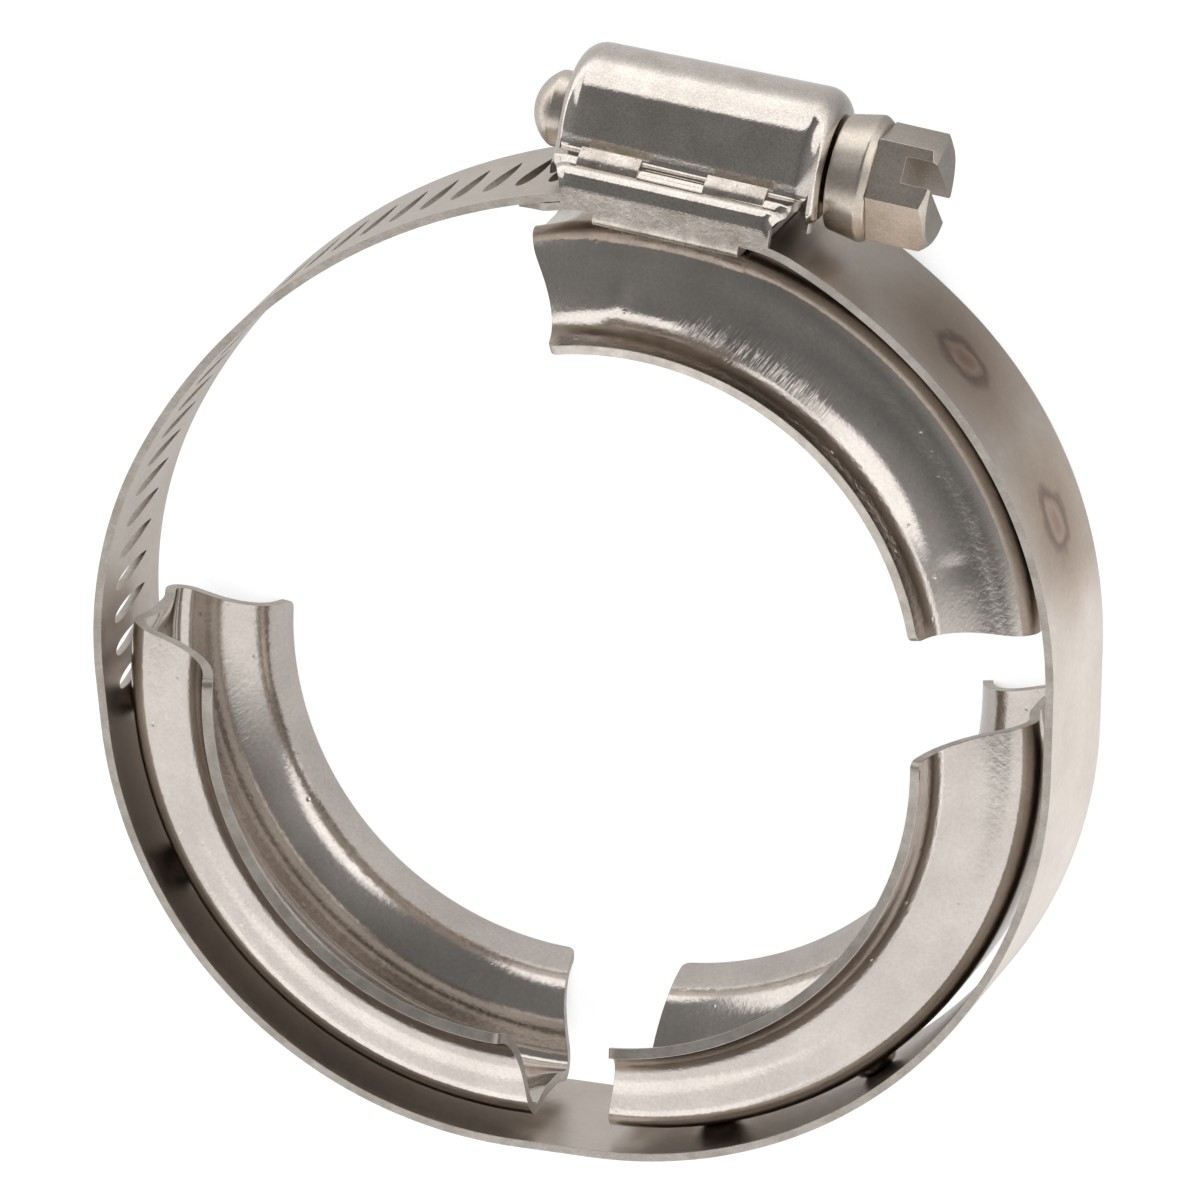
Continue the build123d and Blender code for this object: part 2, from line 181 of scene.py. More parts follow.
def spread(start, end, step):
    """The inner points that divide a straight run into steps."""
    count = max(1, int(np.ceil(np.linalg.norm(end - start) / step)))
    return [start + (end - start) * k / count for k in range(1, count)]


def smooth_step(x, low, high):
    """0 below low, 1 above high, and the S-curve 3 t^2 - 2 t^3 between."""
    t = np.clip((x - low) / (high - low), 0, 1)
    return t * t * (3 - 2 * t)


# %% [markdown]
# ## Driving sizes
# The script repeats the drawing's sizes, in millimetres, because the surfaces have to lie where
# the solids do. Each one is written once, and the rest is worked out.

# %% Sizes shared by several pieces
band_width = 14.3
band_thickness = 0.64
seat_radius = 33.4
seat_centres = ((2.19, 3.42), (2.89, -2.45), (-2.97, -3.04))
insert_mids = (62.5, -35.1, -131.0)
layer_gap = 0.05
layer_step = band_thickness + layer_gap
mid_radius = seat_radius + band_thickness / 2
flat_y = seat_centres[0][1] + mid_radius
tail_y = flat_y + layer_step
tail_top = tail_y + band_thickness / 2
crest_radius = 4.17
thread_in_slots = 0.45
worm_y = tail_top + crest_radius - thread_in_slots
flange_above_tail, skirt_above_tail, ear_below_flange = 2.05, 0.55, 0.8
flange_y = tail_top + flange_above_tail
skirt_y = tail_top + skirt_above_tail
ear_top = flange_y - ear_below_flange
housing_sheet = 0.8
saddle_sheet = 0.75
saddle_side_gap = 0.05
saddle_wall = band_width / 2 + saddle_side_gap + saddle_sheet / 2
print("layers of the band at y", round(flat_y, 2), "and", round(tail_y, 2))
print("housing flange at y", round(flange_y, 2), "worm at y", round(worm_y, 2))

# %% [markdown]
# ## Finishes
# All of it is stainless steel, so every finish is one metal with a warm grey colour. What tells the
# pieces apart is how each was made: rolled strip with a grain along it, sheet pressed in a die,
# sheet drawn deep until it shows orange peel, bar turned on a lathe, and sheared edges.

# %% Colour and node helpers
scratch_width, scratch_stretch = 0.16, 1 / 0.06
pit_share, pit_reach = 0.35, 0.12


def linear(code):
    """An sRGB hex colour as linear values."""
    values = np.array([int(code[k:k + 2], 16) for k in (1, 3, 5)]) / 255
    curve = np.where(values <= 0.04045, values / 12.92, ((values + 0.055) / 1.055) ** 2.4)
    return (*curve.tolist(), 1.0)


def add(tree, kind, settings=None, links=None):
    """Adds a shader node, sets its properties or free inputs, and links its other inputs."""
    made = tree.nodes.new("ShaderNode" + kind)
    for key, value in (settings or {}).items():
        if isinstance(key, str) and hasattr(made, key):
            setattr(made, key, value)
        else:
            made.inputs[key].default_value = value
    for key, socket in (links or {}).items():
        tree.links.new(socket, made.inputs[key])
    return made


def calc(operation, *terms):
    """One sum. Each term is a socket or a number, and the node joins the tree of the sockets."""
    links = {k: t for k, t in enumerate(terms) if isinstance(t, bpy.types.NodeSocket)}
    numbers = {k: t for k, t in enumerate(terms) if k not in links}
    tree = next(iter(links.values())).id_data
    return add(tree, "Math", {"operation": operation, **numbers}, links).outputs[0]


def remap(value, low, high, to_low, to_high, kind="LINEAR"):
    """A value carried from one range to another, clamped at both ends."""
    settings = {"interpolation_type": kind, "From Min": low, "From Max": high,
                "To Min": to_low, "To Max": to_high}
    return add(value.id_data, "MapRange", settings, {"Value": value}).outputs[0]


def soft(value, *ends):
    """The same along an S-curve."""
    return remap(value, *ends, kind="SMOOTHSTEP")


def new_material(name):
    """An empty material with its output, and its node tree."""
    material = bpy.data.materials.new(name)
    material.use_nodes = True
    material.node_tree.nodes.clear()
    return material, material.node_tree


def per_metre(size_mm):
    """Texture scale that makes a pattern repeat about every size_mm."""
    return 1 / (size_mm * MM)


# %% [markdown]
# ## Stainless steel, by the way it was worked
# Worked steel drifts in colour, has a fine relief, and carries a grain or scratches. The last two
# read the unrolled attribute, so they bend round with the metal.

# %% One function for every stainless finish


def factor(tree, size, place, detail=3.0, rough=0.55):
    """A noise of one pattern size in millimetres."""
    settings = {"Scale": per_metre(size), "Detail": detail, "Roughness": rough}
    return add(tree, "TexNoise", settings, {"Vector": place}).outputs["Fac"]


def stretched(tree, strip, along, across):
    """The unrolled place, shortened so that a pattern on it is drawn out along or across the strip."""
    settings = {"Scale": (1 / along, 1 / across, 0.0)}
    return add(tree, "Mapping", settings, {"Vector": strip}).outputs["Vector"]


def stainless(name, light, dark, rough, patch, peel, peel_height,
              speckle=0.08, grain=None, scuff=0.5, tint=None, scratched=0.0):
    """Metal whose colour drifts over patches and whose relief is peel, with sizes in millimetres.
    speckle: how much single grains differ in tone. scuff: depth of small pits as a share of the peel.
    grain: how far it is drawn out along and across the strip, its size and its depth.
    scratched: depth of marks across the strip where the unrolled attribute's third part is above 0."""
    material, tree = new_material(name)
    place = add(tree, "TexCoord").outputs["Object"]
    skin = factor(tree, peel, place)
    tone = remap(factor(tree, patch, place, 4.0, 0.6), 0.35, 0.68, 0.0, 1.0)
    both = {"data_type": "RGBA", 6: linear(dark), 7: linear(light)}
    colour = add(tree, "Mix", both, {0: tone}).outputs[2]
    flecks = remap(factor(tree, peel * 0.6, place, 2.0, 0.5), 0.3, 0.7, 1 - speckle, 1 + speckle)
    links = {0: colour, "Scale": flecks}
    colour = add(tree, "VectorMath", {"operation": "SCALE"}, links).outputs[0]
    if tint:
        colour = tint(tree, colour)
    height = skin
    if grain:
        along, across, size, weight = grain
        strip = add(tree, "Attribute", {"attribute_name": "unrolled"}).outputs["Vector"]
        lines = factor(tree, size, stretched(tree, strip, along, across), 4.0, 0.7)
        height = calc("MULTIPLY_ADD", lines, weight, skin)
    if scratched:
        marks = factor(tree, scratch_width, stretched(tree, strip, 1.0, scratch_stretch), 2.0, 0.6)
        marks = remap(marks, 0.48, 0.66, 0.0, scratched)
        worn = add(tree, "SeparateXYZ", None, {0: strip}).outputs[2]
        height = calc("MULTIPLY_ADD", marks, calc("MULTIPLY", worn, 1 / MM), height)
    spacing = {"Scale": per_metre(patch * pit_share), "Randomness": 1.0}
    pits = add(tree, "TexVoronoi", spacing, {"Vector": place})
    pit = remap(pits.outputs["Distance"], 0.0, pit_reach, -scuff, 0.0)
    depth = {"Strength": 1.0, "Distance": peel_height * MM}
    bump = add(tree, "Bump", depth, {"Height": calc("ADD", height, pit)}).outputs[0]
    gloss = remap(skin, 0.3, 0.75, *rough)
    links = {"Base Color": colour, "Roughness": gloss, "Normal": bump}
    shader = add(tree, "BsdfPrincipled", {"Metallic": 1.0}, links)
    add(tree, "OutputMaterial", None, {"Surface": shader.outputs[0]})
    return material


# %% [markdown]
# ## The finishes themselves
# A mirror-like gloss keeps the edge of a reflection sharp, as on the drawn dome. A rougher one
# melts light and dark together, as on the turned head and the rolled band.

# %% Inserts, housing, saddle, screw and cut edges
# Die-pressed sheet: satin, its mottle 0.4 mm wide and drawn out across the strip, with scratches.
insert_steel = stainless("pressed_stainless_sheet", "#D8D0C9", "#CAC2BB", (0.1, 0.18), 5.0, 0.4, 0.012,
                         speckle=0.05, grain=(1.0, 6.0, 0.3, 0.5), scuff=1.6, scratched=1.4)
# Deep-drawn sheet: bright from the die, with an orange peel about 0.25 mm across from the stretch.
housing_steel = stainless("drawn_stainless_sheet", "#D6CFC7", "#C6BEB6", (0.05, 0.12), 3.0, 0.24, 0.006,
                          speckle=0.16)
# Blanked and bent strip: dull and uneven in tone, with small pits.
saddle_steel = stainless("blanked_stainless_strip", "#DCD3CA", "#B8AEA4", (0.24, 0.38), 1.8, 0.3, 0.02,
                         speckle=0.14, scuff=1.6)
# Turned bar: tool marks too fine to see one by one blur what it reflects.
screw_steel = stainless("turned_stainless_bar", "#DBD1C6", "#CABFB3", (0.26, 0.4), 4.0, 0.3, 0.008,
                        speckle=0.1)
# Sheared edge: torn half-way through the sheet, so it is rough and pale.
edge_steel = stainless("sheared_stainless_edge", "#D6CFC7", "#BDB5AB", (0.34, 0.5), 1.6, 0.22, 0.018)
print("materials:", len(bpy.data.materials))

# %% [markdown]
# ## The band's route
# The band starts under the worm, runs clockwise round the three inserts, crosses the open span
# and comes back over its own beginning. Its middle line is a chain of arcs and straight runs.

# %% Route sizes
half = band_thickness / 2
ramp_headings = (0.0, -21.0, -36.0)
free_headings = (70.5, 15.3)
exit_radius = 5.6
exit_x = -4.9
flat_end_x = 7.45
fixed_end_length = 4.4
slot_pitch = 2.6
slot_count = 30
first_slot_x = 7.55
tail_tip_past_slot = 1.6
free_straight = 3.6
last_seat_end = -166.0

# %% [markdown]
# ## Arcs in a chain
# A sprung strip has no kink, so every arc starts in the direction in which the last one ended. Two
# arcs in a row join two points in two directions when their radii solve two linear equations.

# %% Arc functions


def right_of(heading):
    """Unit vector to the right of a heading in degrees."""
    return np.array([sin(radians(heading)), -cos(radians(heading))])


def two_radii(start, end, headings):
    """Radii of two arcs in a row that join two points through three headings.
    The step is r1 (right 1 - right 2) + r2 (right 2 - right 3), which is solved for r1 and r2."""
    first, middle, last = [right_of(h) for h in headings]
    return np.linalg.solve(np.stack([first - middle, middle - last], 1), np.array(end) - np.array(start))


def advance(point, heading, length, radius):
    """End of a run: straight for radius 0, else an arc that turns clockwise by length degrees.
    An arc's chord is radius x (right of the old heading - right of the new heading)."""
    if radius == 0:
        return point + length * np.array([cos(radians(heading)), sin(radians(heading))]), heading
    return point + radius * (right_of(heading) - right_of(heading - length)), heading - length


# %% [markdown]
# ## The chain of runs
# The three seats are arcs about their own centres, with straight gaps between them. A tight and a
# wide arc join them to the housing on either side, and the fixed end lies one layer inside.

# %% Runs from end to end


def band_runs():
    """The band's runs in order: each has its start, heading, length in millimetres and curvature."""
    flat_end = np.array([flat_end_x, flat_y])
    centres = np.array(seat_centres)
    joint = centres[0] - mid_radius * right_of(ramp_headings[2])
    tight, wide = two_radii(flat_end, joint, ramp_headings)
    seats = [(ramp_headings[0] - ramp_headings[1], tight), (ramp_headings[1] - ramp_headings[2], wide)]
    heading = ramp_headings[2]
    for here, there in zip(centres, centres[1:]):
        dx, dy = there - here
        gap_heading = degrees(atan2(dy, dx))
        seats += [(heading - gap_heading, mid_radius), (sqrt(dx * dx + dy * dy), 0)]
        heading = gap_heading
    end_heading = last_seat_end - 90
    seats += [(heading - end_heading, mid_radius), (free_straight, 0)]
    point, heading = flat_end, 0.0
    for length, radius in seats:
        point, heading = advance(point, heading, length, radius)
    exit_turn = free_headings[1]
    leave = np.array([exit_x, tail_y - exit_radius]) - exit_radius * right_of(exit_turn)
    tight, wide = two_radii(point, leave, (end_heading, free_headings[0] - 360, exit_turn - 360))
    free = [(end_heading - free_headings[0] + 360, tight), (free_headings[0] - exit_turn, wide),
            (exit_turn, exit_radius), (first_slot_x + tail_tip_past_slot - exit_x, 0)]
    under_radius = wide - layer_step
    under_turn = degrees(fixed_end_length / under_radius)
    under = [(under_turn, under_radius), (exit_turn, exit_radius - layer_step), (flat_end_x - exit_x, 0)]
    point, heading = np.zeros(2), exit_turn + under_turn
    for length, radius in under:
        point, heading = advance(point, heading, length, radius)
    point, heading = flat_end - point, exit_turn + under_turn
    table = []
    for length, radius in under + seats + free:
        span = length if radius == 0 else radians(length) * radius
        table.append((point[0], point[1], heading, span, 0 if radius == 0 else 1 / radius))
        point, heading = advance(point, heading, length, radius)
    return np.array(table)


runs = band_runs()
run_starts = np.concatenate([[0], np.cumsum(runs[:, 3])])
band_length = run_starts[-1]


def on_route(distance, height):
    """Points at arrays of distance along the band and height across it.
    Within a run the heading falls by distance x curvature."""
    k = np.clip(np.searchsorted(run_starts, distance, side="right") - 1, 0, len(runs) - 1)
    x, y, heading, _, bend = runs[k].T if np.ndim(k) == 1 else np.moveaxis(runs[k], -1, 0)
    past = distance - run_starts[k]
    start = np.radians(heading)
    now = start - past * bend
    safe = np.where(bend == 0, 1.0, bend)
    x = np.where(bend == 0, x + past * np.cos(start), x + (np.sin(start) - np.sin(now)) / safe)
    y = np.where(bend == 0, y + past * np.sin(start), y - (np.cos(start) - np.cos(now)) / safe)
    return np.stack([x, y, height + 0 * x], -1)


print("band length, mm:", round(float(band_length), 1), "in", len(runs), "runs")

# %% [markdown]
# ## Heat tint on the band
# Each insert is spot-welded to the band at two projections, and the heat shows on the band as
# rings: a pinkish brown core, a paler ring, a dark brown one and a faint warm halo. They depend
# only on the distance from the weld on the unrolled strip.

# %% Weld places and the band's steel
lip_half_angle = 44.6
weld_angles = (9.3, 32.8)
heat_reach = 9.0
heat_stops = ((0.0, "#C4A797"), (0.7, "#CFB5A7"), (1.2, "#DFCFC5"), (1.6, "#CDBCB1"), (2.0, "#A4948A"),
              (2.4, "#B5A69B"), (3.0, "#DDD0C6"), (5.5, "#EEE4DC"), (9.0, "#FFFFFF"))
along = np.arange(0, band_length, 0.05)
route_xy = on_route(along, 0.0)[:, :2]
weld_places = []
for mid, centre in zip(insert_mids, seat_centres):
    for weld in weld_angles:
        angle = radians(mid - lip_half_angle + weld)
        spot = np.array(centre) + mid_radius * np.array([cos(angle), sin(angle)])
        weld_places.append(along[np.argmin(np.hypot(*(route_xy - spot).T))])
print("welds along the band, mm:", [round(float(v), 1) for v in weld_places])


def heat_tint(tree, colour):
    """The colour times a ramp of the distance to the nearest weld, on the outer side only.
    Half a millimetre of noise makes the rings uneven; outside is where normal . place is above 0."""
    strip = add(tree, "Attribute", {"attribute_name": "unrolled"}).outputs["Vector"]
    nearest = None
    for place in weld_places:
        settings = {"operation": "DISTANCE", 1: (place * MM, 0, 0)}
        away = add(tree, "VectorMath", settings, {0: strip}).outputs["Value"]
        nearest = calc("MINIMUM", away, nearest) if nearest else away
    uneven = remap(factor(tree, 2.2, strip), 0.3, 0.7, -0.45 * MM, 0.45 * MM)
    share = remap(calc("ADD", nearest, uneven), 0.0, heat_reach * MM, 0.0, 1.0)
    ramp = add(tree, "ValToRGB", None, {"Fac": share})
    stops = ramp.color_ramp.elements
    for place, code in heat_stops[1:-1]:
        stops.new(place / heat_reach)
    for stop, (place, code) in zip(stops, heat_stops):
        stop.position, stop.color = place / heat_reach, linear(code)
    coords = add(tree, "TexCoord").outputs
    links = {0: coords["Normal"], 1: coords["Object"]}
    outward = add(tree, "VectorMath", {"operation": "DOT_PRODUCT"}, links).outputs["Value"]
    outside = calc("GREATER_THAN", outward, 0.0)
    links = {0: colour, 1: ramp.outputs["Color"]}
    tinted = add(tree, "VectorMath", {"operation": "MULTIPLY"}, links).outputs[0]
    links = {0: outside, 6: colour, 7: tinted}
    return add(tree, "Mix", {"data_type": "RGBA"}, links).outputs[2]


# Rolled and annealed strip: nearly even in colour, with a grain 0.25 mm wide along the band.
band_steel = stainless("rolled_stainless_strip", "#DAD0C6", "#CCC1B7", (0.3, 0.4), 9.0, 0.6, 0.004,
                       speckle=0.03, grain=(14.0, 1.0, 0.25, 0.5), scuff=0.15, tint=heat_tint)

# %% [markdown]
# ## Band
# The strip is plain for two thirds of its length and perforated for the rest. The leaf-shaped
# slots are stamped at the worm's pitch and lean with its thread. A hole in a grid is easiest as
# rings of faces from its edge to the edge of its own cell.

# %% Slot cell and plain strip
slot_length = 7.4
slot_half_width = 0.6
slot_lean = atan(slot_pitch / (2 * pi * crest_radius))
slot_peak, slot_fullness = 0.62, 0.7
side_steps = 16
end_steps = 6
corner_cut = (2.7, 2.3)
strip_step = 0.5


def leaf(turn):
    """The slot's edge at a turn from 0 to 2 pi, leaning with the thread.
    At share t of the length the half width is the widest x sin(pi t^peak)^fullness."""
    t = (1 - np.cos(turn)) / 2
    bulge = np.clip(np.sin(pi * t ** slot_peak), 0, 1) ** slot_fullness
    width = slot_half_width * bulge * np.sign(np.sin(turn))
    along = (t - 0.5) * slot_length
    lean, upright = sin(slot_lean), cos(slot_lean)
    return along * lean + width * upright, width * lean - along * upright


def slot_cell(centre):
    """Rings of faces from the slot's edge to the border of its pitch, 2.6 x 14.3 mm."""
    w, p = band_width / 2, slot_pitch / 2
    up = np.linspace(-w, w, side_steps + 1)[:-1]
    back = np.linspace(p, -p, end_steps + 1)[:-1]
    border_s = np.concatenate([0 * up + p, back, 0 * up - p, -back])
    border_z = np.concatenate([up, 0 * back + w, -up, 0 * back - w])
    count = len(border_s)
    slot_s, slot_z = leaf(pi - (np.arange(count) + end_steps / 2) * 2 * pi / count)
    rings = np.array([0.0, 0.3, 0.62, 1.0])[:, None]
    s = centre + slot_s + rings * (border_s - slot_s)
    z = slot_z + rings * (border_z - slot_z)
    return grid(on_route(s, z), around=True, flat=np.stack([s, z, 0 * s], -1))


def plain_strip(start, end):
    """Rows across the band; the first millimetres narrow to the cut corners."""
    s = np.linspace(start, end, int(np.ceil((end - start) / strip_step)) + 1)[:, None]
    z = np.linspace(-1, 1, side_steps + 1)[None, :]
    width = band_width / 2 - corner_cut[1] * np.clip(1 - s / corner_cut[0], 0, 1)
    s, z = np.broadcast_arrays(s, z * width)
    return grid(on_route(s, z), flat=np.stack([s, z, 0 * s], -1))


last_slot = band_length - tail_tip_past_slot
slots = [last_slot - k * slot_pitch for k in range(slot_count)]
surfaces = [slot_cell(s) for s in slots]
surfaces.append(plain_strip(0, slots[-1] - slot_pitch / 2))
surfaces.append(plain_strip(slots[0] + slot_pitch / 2, band_length))
band = build("band_strip", surfaces, [band_steel, edge_steel])
add_wall(band, band_thickness, 0.1)
settle(band, "clamp", "band")

# %% [markdown]
# ## V inserts
# Each insert is a strip pressed to a V: a flat base towards the band, two walls that splay, and a
# lip along each. A revolved section would give radial ends, but the real ones are cut straight
# across, so the section is carried round with its own end angle at each radius.

# %% Insert sizes and section
insert_sheet = 0.8
base_standoff = 0.95
base_mid = seat_radius - base_standoff - insert_sheet / 2
base_half_width = 5.25
wall_depth = 6.3
bend_half_width = 5.9
lip_radius = 24.05
lip_half_width = 10.4
lip_bend, base_bend = 5.2, 1.9
lip_corner = 0.6
tip_zone, near_tip = 0.55, np.array([0, 0.04, 0.13, 0.27, 0.43])
end_cut_angle = 13.3
end_press = 0.65
end_press_length = 3.2
base_zone = 30.0
dimple, dimple_clearance = (1.0, 2.0), 0.01
pressed = (1.2, base_half_width - 0.6)
scratch_fade = 3.0
insert_rows = 141


def insert_line():
    """Middle line of the V as radius and height, from one lip to the other."""
    tip = lip_radius + insert_sheet / 2
    upper = [(base_mid, base_half_width), (base_mid - wall_depth, bend_half_width),
             (tip, lip_half_width)]
    corners = [(r, -z) for r, z in upper[::-1]] + upper
    line = rounded(corners, [lip_bend, base_bend, base_bend, lip_bend], step=0.45)
    length = run_length(line)
    between = length[(length > tip_zone) & (length < length[-1] - tip_zone)]
    places = np.concatenate([near_tip, between, length[-1] - near_tip[::-1]])
    return np.stack([np.interp(places, length, v) for v in line.T], 1)


def run_length(line):
    """Distance along a line of points, from its start."""
    return np.concatenate([[0], np.cumsum(np.linalg.norm(np.diff(line, axis=0), axis=1))])


print("points across an insert:", len(insert_line()))

# %% [markdown]
# ## The V along its arc
# Rows of the section stand from one slanted end to the other. The welds are dimples in the base, a
# ding is a shallow hollow in one wall, and scratches are a weight that the finish reads.

# %% Insert surface


def insert_surface(mid, centre, dings=(), scratches=None):
    """The V carried round its centre. A straight end cut through the lip's corner meets radius r at
    cut - asin(apex sin(cut) / r), where apex is the radius at which it crosses the middle line."""
    line = insert_line()
    r, z = line[:, 0][None, :], line[:, 1][None, :]
    cut = radians(lip_half_angle + end_cut_angle)
    apex = lip_radius * (cos(radians(lip_half_angle)) - sin(radians(lip_half_angle)) / tan(cut))
    length = run_length(line)[None, :]
    from_tip = np.clip(np.minimum(length, length[:, -1:] - length), 0, lip_corner)
    corner = lip_corner - np.sqrt(lip_corner ** 2 - (lip_corner - from_tip) ** 2)
    end = cut - np.arcsin(apex * sin(cut) / r) - corner / r
    rows = np.linspace(-1, 1, insert_rows)[:, None]
    angle = rows * end
    from_end = (1 - np.abs(rows)) * end * r
    in_base = r > base_zone
    middle = 1 - smooth_step(np.abs(z), *pressed)
    press = end_press * middle * (1 - smooth_step(from_end, 0.0, end_press_length)) * in_base
    push = np.zeros_like(angle)
    for weld in weld_angles:
        away = np.hypot((angle - radians(weld - lip_half_angle)) * r, z)
        push = np.maximum(push, (base_standoff - dimple_clearance) * (1 - smooth_step(away, *dimple)))
    radius = r + (push - press) * in_base
    turned = angle + radians(mid)
    z = z + 0 * angle
    for place, out, depth, size in dings:
        away = np.hypot((angle - radians(place - mid)) * r, r - out)
        z = z - depth * np.exp(-(away / size) ** 2) * (z > 0)
    worn = 0 * angle
    if scratches:
        first, last, out, reach = scratches
        start, stop = [smooth_step(np.degrees(turned), a - scratch_fade, a + scratch_fade)
                       for a in (first, last)]
        worn = start * (1 - stop) * np.exp(-((r - out) / reach) ** 2) * (z > 0)
    points = np.stack([centre[0] + radius * np.cos(turned), centre[1] + radius * np.sin(turned), z], -1)
    flat = np.stack([angle * r, length + 0 * angle, worn], -1)
    return grid(points, flat=flat)


# %% [markdown]
# ## Three inserts on their seats
# The same strip is used three times. Only the top one has knocks: dings, each with its angle,
# radius, depth and size, and scratches from one angle to another, with their radius and reach.

# %% The three inserts
top_dings = ((97.0, 27.5, 0.16, 0.75), (26.8, 27.2, 0.14, 0.8))
top_scratches = (60.0, 86.0, 26.4, 1.3)
for node, mid, centre in zip(("insert_top", "insert_right", "insert_left"), insert_mids, seat_centres):
    wear = (top_dings, top_scratches) if node == "insert_top" else ()
    insert = build(node + "_channel", [insert_surface(mid, centre, *wear)], [insert_steel, edge_steel])
    add_wall(insert, insert_sheet, 0.14)
    settle(insert, "clamp", node)

# %% [markdown]
# ## Saddle
# The saddle is one strip blanked with ears and tabs and folded to a U under the band. A grid with
# faces left out suits its stepped outline.

# %% Saddle sizes and section
saddle_base = (-3.9, 7.4)
saddle_ear = (-6.5, 9.6)
ear_corners = (0.6, 0.4)
tab_starts = (-5.7, 4.05)
tab_width = 4.7
tab_tip, tab_bend_y = (1.2, 0.98), 0.55
tab_bend, fold_bend = 0.675, 0.405
ear_above_base = 0.35
saddle_top = flat_y - half
ear_low = saddle_top + ear_above_base
base_y = saddle_top - saddle_sheet / 2
corner_steps = np.array([0.0, 0.1, 0.3, 0.6, 1.0])
tab = rounded([(flange_y + tab_tip[0], saddle_wall - tab_tip[1]), (flange_y + tab_bend_y, saddle_wall),
               (ear_top, saddle_wall)], [tab_bend], step=0.4, turn=15.0)
fold = rounded([(ear_low, saddle_wall), (base_y, saddle_wall), (base_y, 0.0)], [fold_bend],
               step=0.6, turn=15.0)
top_corner = ear_top - ear_corners[0] * corner_steps
low_corner = ear_low + ear_corners[1] * corner_steps[::-1]
levels = np.concatenate([top_corner, low_corner])
side = np.concatenate([tab[:-1], np.stack([levels, 0 * levels + saddle_wall], 1), fold[1:]])
path = np.concatenate([side * (1, -1), side[::-1][1:]])
print("points across the saddle:", len(path))

# %% [markdown]
# ## The saddle's outline
# A face is metal where its level and its column lie in the blank. At the ears' round corners the end
# columns are pulled in by radius - sqrt(radius^2 - (radius - depth)^2).

# %% Saddle
columns = np.unique([*saddle_base, *saddle_ear, *tab_starts, *(t + tab_width for t in tab_starts)])
middle_y = (path[1:, 0] + path[:-1, 0])[:, None] / 2
middle_x = (columns[1:] + columns[:-1])[None, :] / 2
in_base = (middle_x > saddle_base[0]) & (middle_x < saddle_base[1])
in_tab = np.any([(middle_x > t) & (middle_x < t + tab_width) for t in tab_starts], axis=0)
metal = np.where(middle_y < ear_low, in_base, np.where(middle_y < ear_top, True, in_tab))
pull = np.zeros(len(path))
for radius, depth in zip(ear_corners, (ear_top - path[:, 0], path[:, 0] - ear_low)):
    inside = (depth > -1e-6) & (depth < radius)
    chord = np.sqrt(np.clip(radius ** 2 - (radius - depth) ** 2, 0, None))
    pull = np.where(inside, radius - chord, pull)
end_sign = np.where(columns == saddle_ear[0], 1, np.where(columns == saddle_ear[1], -1, 0))
x = columns[None, :] + pull[:, None] * end_sign
points = np.stack([x, path[:, :1] + 0 * x, path[:, 1:] + 0 * x], -1)
saddle = build("saddle_strap", [grid(points, keep=metal)], [saddle_steel, edge_steel])
add_wall(saddle, saddle_sheet, 0.12)
settle(saddle, "clamp", "saddle")

# %% [markdown]
# ## Housing
# The housing is drawn from one sheet: a long dome with rounded ends, a flange along each side
# that ends in a rounded bead, and a low rim round each end. The dome is a family of arches, one
# for each place along a path up the end wall, round the corner and along the barrel.

# %% Housing sizes
housing_left, housing_right = -8.4, 12.1
dome_left, dome_right = 5.6, 6.0
end_round = 1.8
notch_radius = 2.7
skin = housing_sheet / 2
flange_mid = flange_y + skin
wall_reference = 5.4
foot_bend = 0.8
shoulder, ledge, ledge_drop, ledge_slope, ledge_bend = 7.3, 7.75, 0.38, 0.02, 0.2
bead_radius, lip_out, lip_drop, lip_slope = 0.9, 8.93, 1.5, 0.02
flange_line = rounded([(flange_mid + foot_bend + 0.001, wall_reference), (flange_mid, wall_reference),
                       (flange_mid, shoulder), (flange_mid - ledge_drop, ledge),
                       (flange_mid - ledge_drop - ledge_slope, lip_out),
                       (flange_mid - lip_drop, lip_out + lip_slope)],
                      [foot_bend, ledge_bend, ledge_bend, bead_radius], step=0.12)
ridge_height, ridge_step, ridge_crest = 0.04, 0.62, 6.55
ridge_start, ridge_end, ridge_band = (-1.2, -0.8), (3.9, 4.3), (6.4, 7.45)
end_curl, curl_left, curl_right, curl_out = 0.55, (6.2, 8.2), (9.6, 11.6), (6.6, 8.2)
flange_corner = 50.0
rim_flare, wall_flare = 1.15, 0.12
rim_above_skirt, rim_share, rim_corner = 0.35, 0.7, (3.9, 5.2)
lip_ends, shoulder_ends, slide_length = (-6.6, 9.9), (-7.9, 11.05), 1.6
print("points across the flange:", len(flange_line))

# %% [markdown]
# ## From end wall to barrel
# A drawn box has no sharp corner, because the sheet would tear there. The path gives every arch its
# place and radius, and at an end wall the arches shrink to the notch for the screw.

# %% Path along the dome


